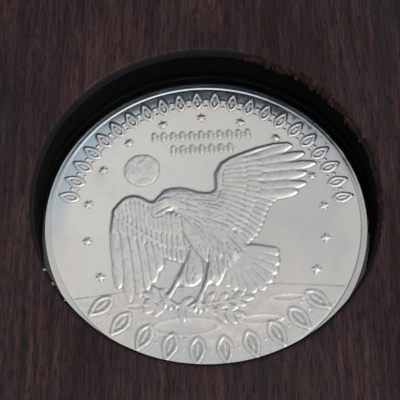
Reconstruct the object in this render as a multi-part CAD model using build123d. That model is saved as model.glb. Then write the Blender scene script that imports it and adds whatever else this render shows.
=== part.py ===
"""Two-sided display holder for one large coin, in millimetres.

A flat block in two halves with a round window through each half. The halves close on four locating
pins, and hold a round clear capsule between them, with the coin in a black ring inside the capsule.

Z = 0 is the face that the holder lies on, +Z points out of the front window, and +Y is the head of
the holder. X = 0, Y = 0 is the axis of the windows, the capsule and the coin.
"""

from build123d import *
import os

# ---- the coin, which sets the round sizes -------------------------------------------------------
COIN_D = 38.1  # a crown-size dollar coin
COIN_T = 2.58  # over its rims
COIN_RIM_W = 0.75  # flat top of the rim
COIN_RIM_SLOPE = 0.45  # width of the slope from the rim down to the field
COIN_FIELD_DEPTH = 0.26  # field below the rim
COIN_EDGE_ROUND = 0.12  # outer corner of the rim

# ---- the holder ---------------------------------------------------------------------------------
HOLDER_W = 80.0  # over the edge strips, along X
HOLDER_L = 105.0  # over the edge strips, along Y
CORNER_R = 0.8  # upright corners of the holder
WINDOW_SIDE_GAP = 0.1  # the window is this much wider than the coin all round
WINDOW_ROUND = 0.5  # rolled edge of the facing round the window
FACING_T = 1.0  # wood-grain facing
FACING_BEVEL = 0.35  # trimmed outer edge of the facing
BOARD_T = 3.2
STRIP_T = 1.0  # wood-grain strips round the sides
LINER_WALL = 1.2  # black ring that lines the window
NAIL_NOTCH_W = 14.0  # thumbnail notch at the parting line
NAIL_NOTCH_H = 1.0
NAIL_NOTCH_DEPTH = 2.0  # from the outside, through the strip and into the core

# ---- the capsule --------------------------------------------------------------------------------
LENS_T = 1.4
STACK_RIM_H = 0.3  # raised rim that keeps the lens off what it lies on
STACK_RIM_W = 1.4
SHELL_WALL = 0.8  # each of the two nested skirts
SHELL_GAP = 0.1  # between the skirts
SKIRT_END_GAP = 0.05  # between the lid's skirt and the base, so that the lid rests on the inner skirt
COIN_TOP_GAP = 0.42  # coin to front lens
RING_WALL = 1.3
RING_SIDE_GAP = 0.1  # coin to ring, and ring to skirt
RING_TOP_GAP = 0.1  # ring to front lens
PRY_NOTCH_W = 8.0  # in the lid's skirt
PRY_NOTCH_H = 0.8
LENS_ROUND = 0.2

# ---- clearances between the capsule and the holder -----------------------------------------------
CAPSULE_SIDE_GAP = 0.25
CAPSULE_TOP_GAP = 0.2
BORE_LEAD_IN = 0.5  # chamfer at the mouth of the capsule's seat

# ---- pins and bushes ----------------------------------------------------------------------------
PIN_D = 3.0
PIN_END_GAP = 0.3  # from the pin's tip to the front board
PIN_IN_BOARD = 1.2  # how far it goes into the rear board
PIN_TIP = 0.4  # chamfer at each end
PIN_RUNNING_GAP = 0.05
BUSH_WALL = 0.95
BUSH_LEAD_IN = 0.3
PIN_INSET = 8.0  # from the outside of the holder to the pin's axis

# ---- sizes that follow --------------------------------------------------------------------------
COIN_R = COIN_D / 2
WINDOW_R = COIN_R + WINDOW_SIDE_GAP
LINER_R = WINDOW_R + LINER_WALL
RING_IN_R = COIN_R + RING_SIDE_GAP
RING_OUT_R = RING_IN_R + RING_WALL
BASE_WALL_IN_R = RING_OUT_R + RING_SIDE_GAP
BASE_WALL_OUT_R = BASE_WALL_IN_R + SHELL_WALL
LID_WALL_IN_R = BASE_WALL_OUT_R + SHELL_GAP
CAPSULE_R = LID_WALL_IN_R + SHELL_WALL
COIN_SPACE_H = COIN_T + COIN_TOP_GAP  # between the lenses
SHELL_T = LENS_T + STACK_RIM_H
CAPSULE_H = 2 * SHELL_T + COIN_SPACE_H
SEAT_R = CAPSULE_R + CAPSULE_SIDE_GAP
CORE_T = (CAPSULE_H + CAPSULE_TOP_GAP) / 2  # one half of the spacer
INNER_W = HOLDER_W - 2 * STRIP_T
INNER_L = HOLDER_L - 2 * STRIP_T
HALF_T = FACING_T + BOARD_T + CORE_T
HOLDER_T = 2 * HALF_T

Z_BOARD = FACING_T
Z_CORE = Z_BOARD + BOARD_T
Z_PART = HALF_T  # parting line of the two halves
Z_CAPSULE = Z_CORE  # the capsule stands on the rear board
Z_COIN = Z_CAPSULE + SHELL_T  # the coin and its ring lie on the rear lens
Z_LID_LENS = Z_COIN + COIN_SPACE_H

PIN_X = HOLDER_W / 2 - PIN_INSET
PIN_Y = HOLDER_L / 2 - PIN_INSET
PIN_PLACES = [(x, y) for x in (-PIN_X, PIN_X) for y in (-PIN_Y, PIN_Y)]
BUSH_R = PIN_D / 2 + PIN_RUNNING_GAP + BUSH_WALL

ON_BASE = (Align.CENTER, Align.CENTER, Align.MIN)
TINY = 0.01  # how near two heights are to count as the same


def plate(width, length, thickness, z):
    """A flat plate with its lower face at z."""
    return Pos(0, 0, z) * Box(width, length, thickness, align=ON_BASE)


def disc(radius, thickness, z, at=(0, 0)):
    """An upright cylinder with its lower face at z."""
    return Pos(at[0], at[1], z) * Cylinder(radius, thickness, align=ON_BASE)


def tube(inner, outer, height, z, at=(0, 0)):
    """An upright tube with its lower face at z."""
    return disc(outer, height, z, at) - disc(inner, height, z, at)


def edges_at(shape, z):
    """The edges of a shape that lie flat at height z."""
    return shape.edges().filter_by(
        lambda e: abs(e.bounding_box().min.Z - z) < TINY and abs(e.bounding_box().max.Z - z) < TINY
    )


def circles_at(shape, z, radius):
    """The round edges of that radius about Z at height z."""
    return edges_at(shape, z).filter_by(
        lambda e: e.geom_type == GeomType.CIRCLE and abs(e.radius - radius) < TINY
    )


def flipped(shape):
    """The same shape turned over, for the other half of the holder."""
    return Pos(0, 0, HOLDER_T) * Rot(180, 0, 0) * shape


# ---- the rear half, built from the outer face inwards ---------------------------------------------
def facing():
    """Wood-grain sheet on the outer face, rolled over at the window and bevelled round the outside."""
    sheet = plate(HOLDER_W, HOLDER_L, FACING_T, 0)
    sheet = fillet(sheet.edges().filter_by(Axis.Z), CORNER_R)
    sheet = chamfer(edges_at(sheet, 0), FACING_BEVEL)
    sheet -= disc(WINDOW_R, FACING_T, 0)
    return fillet(circles_at(sheet, 0, WINDOW_R), WINDOW_ROUND)


def board():
    """Fibreboard behind the facing."""
    return plate(INNER_W, INNER_L, BOARD_T, Z_BOARD) - disc(LINER_R, BOARD_T, Z_BOARD)


def rear_board():
    """The board of the rear half, which the pins reach into."""
    body = board()
    for place in PIN_PLACES:
        body -= disc(PIN_D / 2, PIN_IN_BOARD, Z_CORE - PIN_IN_BOARD, place)
    return body


def window_liner():
    """Black ring that lines the window through the board."""
    return tube(WINDOW_R, LINER_R, BOARD_T, Z_BOARD)


def core():
    """Half of the black spacer, with the seat for the capsule."""
    body = plate(INNER_W, INNER_L, CORE_T, Z_CORE) - disc(SEAT_R, CORE_T, Z_CORE)
    return chamfer(circles_at(body, Z_PART, SEAT_R), BORE_LEAD_IN)


def rear_core():
    """The spacer half that the pins are pressed into."""
    body = core()
    for place in PIN_PLACES:
        body -= disc(PIN_D / 2, CORE_T, Z_CORE, place)
    return body


def front_core():
    """The spacer half that holds the bushes, with a thumbnail notch in each long side."""
    body = core()
    for place in PIN_PLACES:
        body -= disc(BUSH_R, CORE_T, Z_CORE, place)
    return flipped(body) - nail_notches()


def nail_notches():
    """The space of the two thumbnail notches, above the parting line at the middle of the long sides."""
    reach = Box(HOLDER_W, NAIL_NOTCH_W, NAIL_NOTCH_H, align=ON_BASE)
    middle = Box(HOLDER_W - 2 * NAIL_NOTCH_DEPTH, NAIL_NOTCH_W, NAIL_NOTCH_H, align=ON_BASE)
    return Pos(0, 0, Z_PART) * (reach - middle)


def long_strip(side):
    """Edge strip of a long side, over the full length, with rounded upright corners."""
    height = BOARD_T + CORE_T
    strip = Box(STRIP_T, HOLDER_L, height, align=ON_BASE)
    outer = strip.edges().filter_by(Axis.Z).group_by(Axis.X)[-1]
    strip = fillet(outer, CORNER_R)
    if side < 0:
        strip = Rot(0, 0, 180) * strip
    return Pos(side * (HOLDER_W - STRIP_T) / 2, 0, Z_BOARD) * strip


def short_strip(side):
    """Edge strip of the head or the foot, fitted between the long strips."""
    strip = Box(INNER_W, STRIP_T, BOARD_T + CORE_T, align=ON_BASE)
    return Pos(0, side * (HOLDER_L - STRIP_T) / 2, Z_BOARD) * strip


def locating_pins():
    """Four steel dowels, pressed into the rear half."""
    length = PIN_IN_BOARD + 2 * CORE_T - PIN_END_GAP
    pin = Cylinder(PIN_D / 2, length, align=ON_BASE)
    pin = chamfer(pin.edges().filter_by(GeomType.CIRCLE), PIN_TIP)
    return Compound([Pos(x, y, Z_CORE - PIN_IN_BOARD) * pin for x, y in PIN_PLACES])


def pin_bushes():
    """Four brass sleeves in the front half, which slide on the pins."""
    bore_r = PIN_D / 2 + PIN_RUNNING_GAP
    bush = Cylinder(BUSH_R, CORE_T, align=ON_BASE) - Cylinder(bore_r, CORE_T, align=ON_BASE)
    bush = chamfer(circles_at(bush, 0, bore_r), BUSH_LEAD_IN)
    return Compound([Pos(x, y, Z_PART) * bush for x, y in PIN_PLACES])


# ---- the capsule ----------------------------------------------------------------------------------
def lens(z_outer, z_inner):
    """Clear disc with a raised rim on its outer face. z_outer is the top of that rim."""
    up = 1 if z_inner > z_outer else -1
    body = disc(CAPSULE_R, SHELL_T, min(z_outer, z_inner))
    hollow_z = z_outer if up > 0 else z_outer - STACK_RIM_H
    body -= disc(CAPSULE_R - STACK_RIM_W, STACK_RIM_H, hollow_z)
    return fillet(circles_at(body, z_outer, CAPSULE_R), LENS_ROUND)


def capsule_base():
    """Rear shell: the lens and the inner skirt, which the lid rests on."""
    return lens(Z_CAPSULE, Z_COIN) + tube(BASE_WALL_IN_R, BASE_WALL_OUT_R, COIN_SPACE_H, Z_COIN)


def capsule_lid():
    """Front shell: the lens and the outer skirt, with a notch to pry it off."""
    skirt_z = Z_COIN + SKIRT_END_GAP
    skirt = tube(LID_WALL_IN_R, CAPSULE_R, Z_LID_LENS - skirt_z, skirt_z)
    notch = Pos(0, -CAPSULE_R, skirt_z) * Box(PRY_NOTCH_W, 4 * SHELL_WALL, PRY_NOTCH_H, align=ON_BASE)
    return lens(Z_LID_LENS + SHELL_T, Z_LID_LENS) + (skirt - notch)


def coin_ring():
    """Black ring that centres the coin in the capsule."""
    return tube(RING_IN_R, RING_OUT_R, COIN_SPACE_H - RING_TOP_GAP, Z_COIN)


def coin():
    """Blank coin: raised rims, sloped inner edge and flat fields on both faces."""
    half_t = COIN_T / 2
    field_z = half_t - COIN_FIELD_DEPTH
    rim_r = COIN_R - COIN_RIM_W
    field_r = rim_r - COIN_RIM_SLOPE
    top = [
        (0, field_z),
        (field_r, field_z),
        (rim_r, half_t),
        (COIN_R - COIN_EDGE_ROUND, half_t),
        (COIN_R, half_t - COIN_EDGE_ROUND),
    ]
    outline = top + [(r, -z) for r, z in reversed(top)]
    section = make_face(Plane.XZ * Polyline(*outline, close=True))
    return Pos(0, 0, Z_COIN + half_t) * revolve(section, Axis.Z)


def build():
    """Every piece by its node name."""
    nodes = {
        "rear_facing": facing(),
        "rear_board": rear_board(),
        "rear_window_liner": window_liner(),
        "rear_core": rear_core(),
        "locating_pins": locating_pins(),
        "front_facing": flipped(facing()),
        "front_board": flipped(board()),
        "front_window_liner": flipped(window_liner()),
        "front_core": front_core(),
        "pin_bushes": pin_bushes(),
        "capsule_base": capsule_base(),
        "capsule_lid": capsule_lid(),
        "coin_ring": coin_ring(),
        "coin": coin(),
    }
    for name, strip in (
        ("edge_left", long_strip(-1)),
        ("edge_right", long_strip(1)),
        ("edge_foot", short_strip(-1)),
        ("edge_head", short_strip(1)),
    ):
        upper = Pos(0, 0, Z_PART - Z_BOARD) * strip
        nodes["rear_" + name] = strip
        nodes["front_" + name] = upper - nail_notches()
    return nodes


os.makedirs("parts", exist_ok=True)
for node, shape in build().items():
    export_step(shape, f"parts/{node}.step")
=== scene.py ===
"""Looks of the two-sided coin holder: wood-grain facings, clear capsule, black ring and a struck coin."""

import math
import random

import bmesh
import bpy
import numpy as np
from mathutils import Matrix, Vector


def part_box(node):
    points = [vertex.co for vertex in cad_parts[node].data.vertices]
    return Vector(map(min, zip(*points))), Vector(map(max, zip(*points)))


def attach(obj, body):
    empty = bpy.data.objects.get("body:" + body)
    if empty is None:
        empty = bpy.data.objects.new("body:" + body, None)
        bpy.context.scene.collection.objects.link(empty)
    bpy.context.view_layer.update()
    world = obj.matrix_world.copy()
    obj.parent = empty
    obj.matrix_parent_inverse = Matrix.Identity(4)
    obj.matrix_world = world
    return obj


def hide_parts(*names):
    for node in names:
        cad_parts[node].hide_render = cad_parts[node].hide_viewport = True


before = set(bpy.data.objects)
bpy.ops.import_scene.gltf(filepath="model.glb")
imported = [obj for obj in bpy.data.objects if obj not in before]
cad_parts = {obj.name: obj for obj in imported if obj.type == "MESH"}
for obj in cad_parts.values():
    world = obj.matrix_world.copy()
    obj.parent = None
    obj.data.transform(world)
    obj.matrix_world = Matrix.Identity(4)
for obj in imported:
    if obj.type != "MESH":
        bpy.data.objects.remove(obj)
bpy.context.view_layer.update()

MM = 0.001  # the pieces are made in millimetres and scaled to metres at the end
TURN = 2 * math.pi
UP = Vector((0, 0, 1))


def box_mm(node):
    """Lowest and highest corner of a CAD node, in millimetres."""
    low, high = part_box(node)
    return low / MM, high / MM


# ---- sizes read from the frame ------------------------------------------------------------------
COIN_LOW, COIN_HIGH = box_mm("coin")
RING_LOW, RING_HIGH = box_mm("coin_ring")
BASE_LOW, BASE_HIGH = box_mm("capsule_base")
LID_LOW, LID_HIGH = box_mm("capsule_lid")
FACING_LOW, FACING_HIGH = box_mm("front_facing")
REAR_FACING_LOW, REAR_FACING_HIGH = box_mm("rear_facing")
LINER_LOW, LINER_HIGH = box_mm("front_window_liner")
REAR_LINER_LOW, REAR_LINER_HIGH = box_mm("rear_window_liner")
PINS_LOW, PINS_HIGH = box_mm("locating_pins")
BUSHES_LOW, BUSHES_HIGH = box_mm("pin_bushes")

COIN_R = COIN_HIGH.x
COIN_MID_Z = (COIN_LOW.z + COIN_HIGH.z) / 2
COIN_HALF_T = (COIN_HIGH.z - COIN_LOW.z) / 2
CAPSULE_R = LID_HIGH.x
HOLDER_TOP = FACING_HIGH.z

# ---- sizes that the frame's boxes don't give ------------------------------------------------------
WINDOW_R = COIN_R + 0.1
WINDOW_ROUND = 0.7
FACING_BEVEL = 0.35
CORNER_R = 0.8
STACK_RIM_H = 0.3
STACK_RIM_W = 1.4
SKIRT_T = 0.8
PRY_NOTCH_W = 8.0
PRY_NOTCH_H = 0.8
RING_WALL = 1.3
PIN_R = 1.5
PIN_TIP = 0.4
BUSH_BORE_R = 1.55
BUSH_WALL = 0.95
BUSH_LEAD_IN = 0.3

FIELD_R = 17.75  # where the coin's field meets its rim
RIM_SLOPE = 0.1
FIELD_DEPTH = 0.26
WIRE_R = COIN_R - 0.8  # a fine raised lip round the rim's outer edge
WIRE_W = 0.2
WIRE_H = 0.05
# painted shade on the wire lip, a little lighter than on the rim
WIRE_SHADE = 0.4
RIM_SHADE = 0.45  # painted shade: how much darker the rim is painted than the field, for the dark window wall that its flat mirrors
EDGE_ROUND = 0.25
DISH_FROM = 14.9  # the field curves up from here to the rim
DISH_RATE = 0.018
REED_DEPTH = 0.09
COIN_TURN = math.radians(2.8)  # how the coin sits in its ring

FACE_STEPS = 290  # squares along one side of the grid that becomes a coin face
VERTS_PER_REED = 5
EDGE_STEPS = 960  # points round the window of a facing
TURNED_STEPS = 180
FINE_STEPS = 240
FLOW_STEPS = 5  # points of a smooth line between two drawn ones
PIN_STEPS = 40
MERGE_GAP = 0.0005
FEATHER_ROOF = 1.3  # 1 gives a feather two flat sides, 2 a round back
FEATHER_OVERLAP = 0.56  # half width of a feather in a row, as a share of the gap between two tips
LOWEST_STRIKE = -0.03  # no hollow in the field is deeper
STRIKE_BELOW_RIM = 0.015
FIELD_FADE = 0.25  # the relief dies away over this width before the rim
CREASE_SWEEPS = 4
CREASE_DEPTH = 0.009  # a crease this deep gets its full painted shade


# ==== shader maths =================================================================================
def set_stops(ramp, stops):
    """Gives a colour ramp its stops, each a place and a colour."""
    while len(ramp.elements) < len(stops):
        ramp.elements.new(0.5)
    for element, (place, colour) in zip(ramp.elements, stops):
        element.position = place
        element.color = (*colour, 1)


class Socket:
    """A shader value that Python's operators work on: each one adds a Math node."""

    def __init__(self, finish, socket):
        self.finish = finish
        self.socket = socket

    def maths(self, operation, first, second):
        return self.finish.node("ShaderNodeMath", {"operation": operation}, {0: first, 1: second})

    def __add__(self, other):
        return self.maths("ADD", self, other)

    __radd__ = __add__

    def __mul__(self, other):
        return self.maths("MULTIPLY", self, other)

    __rmul__ = __mul__

    def __sub__(self, other):
        return self.maths("SUBTRACT", self, other)

    def __rsub__(self, other):
        return self.maths("SUBTRACT", other, self)

    def __pow__(self, other):
        return self.maths("POWER", self, other)

    def largest(self, other):
        return self.maths("MAXIMUM", self, other)


class Finish:
    """One procedural material."""

    def __init__(self, name, **constants):
        self.material = bpy.data.materials.new(name)
        self.material.use_nodes = True
        self.tree = self.material.node_tree
        self.shader = self.tree.nodes["Principled BSDF"]
        self.output = self.tree.nodes["Material Output"]
        for socket, value in constants.items():
            self.shader.inputs[socket.replace("_", " ")].default_value = value

    def node(self, kind, settings=None, inputs=None, output=0):
        """Adds a node: its settings first, then the values or links of its sockets."""
        node = self.tree.nodes.new(kind)
        for key, value in (settings or {}).items():
            if key == "stops":
                set_stops(node.color_ramp, value)
            else:
                setattr(node, key, value)
        for key, value in (inputs or {}).items():
            if isinstance(value, Socket):
                self.tree.links.new(value.socket, node.inputs[key])
            else:
                node.inputs[key].default_value = value
        return Socket(self, node.outputs[output])

    def place(self, scale=(1, 1, 1), shift=(0, 0, 0)):
        """The point on the piece in millimetres, scaled and shifted."""
        coordinates = self.node("ShaderNodeTexCoord", output=3)
        per_mm = [s / MM for s in scale]
        return self.node("ShaderNodeMapping", None, {0: coordinates, 1: shift, 3: per_mm})

    def axis(self, name):
        """X, Y or Z of the point on the piece, in millimetres."""
        return self.node("ShaderNodeSeparateXYZ", None, {0: self.place()}, "XYZ".index(name))

    def at(self, x, y, z=0.0):
        return self.node("ShaderNodeCombineXYZ", None, {0: x, 1: y, 2: z})

    def noise(self, where, scale=1.0, detail=2.0, roughness=0.5, distortion=0.0):
        inputs = {"Vector": where, "Scale": scale, "Detail": detail}
        inputs["Roughness"] = roughness
        inputs["Distortion"] = distortion
        return self.node("ShaderNodeTexNoise", None, inputs)

    def between(self, value, low, high):
        """0 at low, 1 at high, clamped and smooth."""
        inputs = {0: value, 1: low, 2: high, 3: 0.0, 4: 1.0}
        return self.node("ShaderNodeMapRange", {"interpolation_type": "SMOOTHSTEP"}, inputs)

    def blend(self, factor, first, second, kind="MIX"):
        """Colour first, going to colour second by the factor."""
        settings = {"data_type": "RGBA", "blend_type": kind}
        sockets = [c if isinstance(c, Socket) else (*c, 1) for c in (first, second)]
        return self.node("ShaderNodeMix", settings, {0: factor, 6: sockets[0], 7: sockets[1]}, 2)

    def ramp(self, value, *stops):
        return self.node("ShaderNodeValToRGB", {"stops": stops}, {0: value})

    def attribute(self, name):
        return self.node("ShaderNodeAttribute", {"attribute_name": name}, None, 2)

    def set(self, socket, value):
        """Drives a socket of the surface shader."""
        self.tree.links.new(value.socket, self.shader.inputs[socket])

    def bump(self, height, depth_mm, strength=1.0):
        """Relief in the shading: height runs from 0 to 1 over depth_mm."""
        inputs = {"Strength": strength, "Distance": depth_mm * MM, "Height": height}
        self.set("Normal", self.node("ShaderNodeBump", None, inputs))


def srgb(red, green, blue):
    """A colour given as 0 to 255 on a screen, as the linear values that shaders take."""

    def linear(c):
        c /= 255
        return c / 12.92 if c <= 0.04045 else ((c + 0.055) / 1.055) ** 2.4

    return tuple(linear(c) for c in (red, green, blue))


# ==== materials ====================================================================================
def wood_grain(name, grain="Y", torn=False):
    """Dark wood-grain film: reddish brown streaks, fine dark pores and soft grey bands along the grain."""
    film = Finish(name, Roughness=0.5)
    film.shader.inputs["Specular IOR Level"].default_value = 0.2
    across = film.axis("X" if grain == "Y" else "Y") + film.axis("Z") * 0.83
    along = film.axis(grain)
    wander = film.noise(film.at(across * 0.05, along * 0.022, 3.0), 1, 2) - 0.5
    ripple = film.noise(film.at(across * 0.3, along * 0.1, 9.0), 1, 2) - 0.5
    across = across + wander * 1.1 + ripple * 0.2

    band = film.noise(film.at(across * 0.55, along * 0.016, 1.7), 1, 3, 0.6)
    streak = film.noise(film.at(across * 1.7, along * 0.09, 4.2), 1, 3, 0.6)
    thread = film.noise(film.at(across * 6.0, along * 0.5, 6.5), 1, 3, 0.7)
    pore = film.noise(film.at(across * 6.6, along * 0.62, 8.8), 1, 2, 0.5)
    speck = film.noise(film.at(across * 7.0, along * 3.5, 2.4), 1, 2, 0.6)
    cloud = film.noise(film.at(across * 0.09, along * 0.05, 7.7), 1, 2)

    tone = streak * 0.42 + thread * 0.42 + cloud * 0.16
    brown = film.ramp(
        tone,
        (0.32, srgb(19, 14, 17)),
        (0.43, srgb(38, 25, 28)),
        (0.53, srgb(58, 39, 40)),
        (0.66, srgb(86, 61, 60)),
    )
    warmth = film.between(film.noise(film.at(across * 0.16, along * 0.03, 5.1), 1, 2), 0.5, 0.68)
    brown = film.blend(warmth * 0.4, brown, srgb(86, 56, 44), "OVERLAY")
    grey = film.between(band, 0.57, 0.68)
    colour = film.blend(grey * 0.7, brown, srgb(33, 31, 36))
    dark_pore = film.between(pore, 0.56, 0.67)
    colour = film.blend(dark_pore * 0.75, colour, srgb(17, 13, 15))
    fleck = film.between(speck, 0.62, 0.72) * film.between(tone, 0.45, 0.6)
    colour = film.blend(fleck * 0.4, colour, srgb(100, 76, 70))
    rough = 0.44 + thread * 0.16 + dark_pore * 0.12
    height = 0.62 - dark_pore * 0.6 + thread * 0.35 - grey * 0.1

    if torn:
        tear = film.attribute("torn")
        shred = film.noise(film.at(across * 5.5, along * 0.9, 7.3), 1, 3, 0.65)
        fibre = film.ramp(
            shred,
            (0.34, srgb(20, 14, 14)),
            (0.5, srgb(44, 32, 29)),
            (0.68, srgb(84, 62, 47)),
        )
        shown = film.between(tear + shred * 0.5 - 0.25, 0.28, 0.52)
        colour = film.blend(shown, colour, fibre)
        chip = film.between(film.attribute("chip"), 0.35, 0.65)
        colour = film.blend(chip, colour, srgb(170, 160, 150))
        wall = film.between(film.attribute("rolled"), 0.2, 0.8)
        colour = film.blend(wall * (1 - shown) * (1 - chip), colour, srgb(20, 19, 25))
        rough = rough + shown * 0.3 + wall * 0.2
        height = height + shown * shred * 0.9

    film.set("Base Color", colour)
    film.set("Roughness", rough)
    film.bump(height, 0.05, 0.8)
    return film.material


def moulded_black(name, tone=0.008, rough=0.5, grain_mm=0.25, sheen=0.5):
    """Black moulded plastic with a fine spark-eroded skin."""
    skin = Finish(name)
    skin.shader.inputs["Specular IOR Level"].default_value = sheen
    cloud = skin.noise(skin.place(), 0.12, 3)
    pits = skin.noise(skin.place(), 1 / grain_mm, 3, 0.6)
    colour = skin.blend(cloud, (tone * 0.7, tone * 0.7, tone * 0.8), (tone * 1.4, tone * 1.4, tone * 1.6))
    skin.set("Base Color", colour)
    skin.set("Roughness", rough + cloud * 0.12 + pits * 0.1)
    skin.bump(pits, 0.03, 0.5)
    return skin.material


def fibreboard(name):
    """Black-dyed hardboard: pressed fibres in every direction."""
    board = Finish(name)
    mat = board.noise(board.place((1.0, 1.0, 3.0)), 1.3, 5, 0.7, 1.5)
    fibres = board.noise(board.place((6.0, 1.2, 6.0)), 1, 3, 0.65)
    crossing = board.noise(board.place((1.2, 6.0, 6.0)), 1, 3, 0.65)
    tone = mat * 0.4 + fibres * 0.3 + crossing * 0.3
    colour = board.ramp(
        tone,
        (0.34, srgb(14, 12, 12)),
        (0.5, srgb(33, 28, 26)),
        (0.64, srgb(62, 51, 45)),
    )
    board.set("Base Color", colour)
    board.set("Roughness", 0.75 + tone * 0.2)
    board.bump(tone, 0.12, 0.8)
    return board.material


def clear_acrylic(name):
    """Clear polished shell that lets light through to the coin, with the faintest wipe marks."""
    clear = Finish(name, Roughness=0.02, IOR=1.49)
    clear.shader.inputs["Transmission Weight"].default_value = 1.0
    clear.shader.inputs["Base Color"].default_value = (0.985, 0.99, 0.995, 1)
    wipe = clear.noise(clear.place((0.25, 2.2, 1.0)), 1, 4, 0.6, 0.8)
    clear.set("Roughness", 0.012 + clear.between(wipe, 0.62, 0.8) * 0.03)
    shadow = clear.node("ShaderNodeLightPath", output=1)
    through = clear.node("ShaderNodeBsdfTransparent", None, {0: (0.96, 0.97, 0.98, 1)})
    surface = Socket(clear, clear.shader.outputs[0])
    mixed = clear.node("ShaderNodeMixShader", None, {0: shadow, 1: surface, 2: through})
    clear.tree.links.new(mixed.socket, clear.output.inputs[0])
    return clear.material


def struck_silver(name):
    """Silver of the coin: mirror field, softer relief, hairlines, haze, painted shade in the creases and on
    the rim, painted light brighter to the left, and a painted reflection of the window wall near the far
    rim.
    """
    silver = Finish(name, Metallic=1.0)
    frost = silver.between(silver.attribute("relief"), 0.01, 0.05)
    haze = silver.noise(silver.place(), 0.16, 3)
    bloom = silver.between(silver.noise(silver.place(), 0.45, 4, 0.65, 0.6), 0.52, 0.72)
    cloud = silver.noise(silver.place(), 0.9, 4, 0.6)
    hairs = silver.noise(silver.place((0.5, 7.0, 1.0)), 1, 2, 0.5, 2.0)
    other_hairs = silver.noise(silver.place((6.0, 0.7, 1.0)), 1, 2, 0.5, 2.5)
    hairline = silver.between(hairs.largest(other_hairs), 0.64, 0.74)
    speck = silver.between(silver.noise(silver.place(), 2.4, 2, 0.4), 0.74, 0.79)
    # painted light and shade: the silver is painted warm and bright towards the left and duller towards the
    # right, as the light falls
    painted_light_sweep = silver.between(silver.axis("X") - silver.axis("Y") * 0.4, -14.0, 8.0)

    clean = silver.blend(painted_light_sweep, (0.97, 0.94, 0.875), (0.76, 0.755, 0.735))
    clean = silver.blend(silver.between(haze, 0.5, 0.7) * 0.5, clean, (0.90, 0.87, 0.80))
    tarnish = silver.between(silver.noise(silver.place(), 0.1, 2), 0.42, 0.62)
    clean = silver.blend(tarnish * 0.45, clean, (0.93, 0.86, 0.77))
    clean = silver.blend(bloom * 0.35, clean, (0.72, 0.70, 0.67))
    worn = silver.between(silver.noise(silver.place(), 1.1, 4, 0.65, 0.8), 0.42, 0.66) * frost
    clean = silver.blend(worn * 0.55, clean, (0.60, 0.60, 0.62))
    # painted shade: the hollows at the foot of the relief and the rim are painted dark grey-blue
    crease = silver.between(silver.attribute("crease"), 0.1, 0.9)
    # painted reflection: a blue-grey band near the far rim stands for the dark window wall mirrored in the
    # field
    reach = (silver.axis("X") ** 2 + silver.axis("Y") ** 2) ** 0.5
    head_side = silver.between(silver.axis("Y") - silver.axis("X") * 0.35, -2.0, 15.0)
    painted_wall_reflection = silver.between(reach, 15.2, 17.0) * head_side
    clean = silver.blend(painted_wall_reflection * 0.8, clean, (0.50, 0.63, 0.74))
    colour = silver.blend(crease * 0.62, clean, (0.26, 0.27, 0.30))
    colour = silver.blend(speck * 0.5, colour, (0.35, 0.30, 0.26))
    silver.set("Base Color", colour)
    rough = 0.08 + frost * 0.07 + cloud * 0.05 + hairline * 0.08 + speck * 0.2
    silver.set("Roughness", rough + silver.attribute("rim") * 0.07)
    silver.bump(cloud * 0.25 - hairline * 0.3 + haze * 0.5, 0.010, 0.5)
    return silver.material


def drawn_metal(name, colour, rough, lines_mm):
    """Turned or drawn metal with fine lines along its length."""
    metal = Finish(name, Metallic=1.0)
    lines = metal.noise(metal.place((1 / lines_mm, 1 / lines_mm, 0.3)), 1, 3)
    stain = metal.noise(metal.place(), 0.8, 3)
    dull = tuple(c * 0.72 for c in colour)
    metal.set("Base Color", metal.blend(stain, dull, colour))
    metal.set("Roughness", rough + lines * 0.12 + stain * 0.1)
    metal.bump(lines, 0.006, 0.6)
    return metal.material


def pale_floor(name):
    """Plain pale paint with the faintest clouds."""
    paint = Finish(name, Roughness=0.8)
    paint.shader.inputs["Specular IOR Level"].default_value = 0.1
    grain = paint.noise(paint.place(), 0.05, 4)
    paint.set("Base Color", paint.blend(grain, (0.74, 0.735, 0.725), (0.79, 0.785, 0.775)))
    return paint.material


# ==== making pieces ================================================================================
def stand(bm, name, body, node, material, sharp=35, attributes=None):
    """Turns a bmesh in millimetres into a piece that stands for a CAD node and rides on its body."""
    bmesh.ops.scale(bm, vec=(MM, MM, MM), verts=bm.verts)
    mesh = bpy.data.meshes.new(name)
    bm.to_mesh(mesh)
    bm.free()
    mesh.shade_smooth()
    mesh.set_sharp_from_angle(angle=math.radians(sharp))
    mesh.materials.append(material)
    for key, values in (attributes or {}).items():
        layer = mesh.attributes.new(key, "FLOAT", "POINT")
        layer.data.foreach_set("value", np.asarray(values, np.float32))
    piece = bpy.data.objects.new(name, mesh)
    bpy.context.scene.collection.objects.link(piece)
    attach(piece, body)
    if node:
        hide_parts(node)
    return piece


def close_up(bm):
    """Merges doubles and turns the faces outwards."""
    bmesh.ops.remove_doubles(bm, verts=bm.verts, dist=MERGE_GAP)
    bmesh.ops.recalc_face_normals(bm, faces=bm.faces)


def ease_edges(bm, width):
    """Rounds every edge that turns by more than 40 degrees."""
    limit = math.radians(40)
    sharp = [e for e in bm.edges if len(e.link_faces) == 2 and e.calc_face_angle() > limit]
    bmesh.ops.bevel(
        bm, geom=sharp, offset=width, offset_type="OFFSET", segments=2,
        profile=0.5, affect="EDGES", clamp_overlap=True, material=-1,
    )


def supported(outline, gap):
    """Adds points a little way from each corner, so that the flats between them shade flat."""
    points = []
    for start, end in zip(outline, outline[1:] + outline[:1]):
        start, end = Vector(start), Vector(end)
        points.append(start)
        length = (end - start).length
        if length > 4 * gap:
            points.append(start.lerp(end, gap / length))
            points.append(start.lerp(end, 1 - gap / length))
    return points


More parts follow.
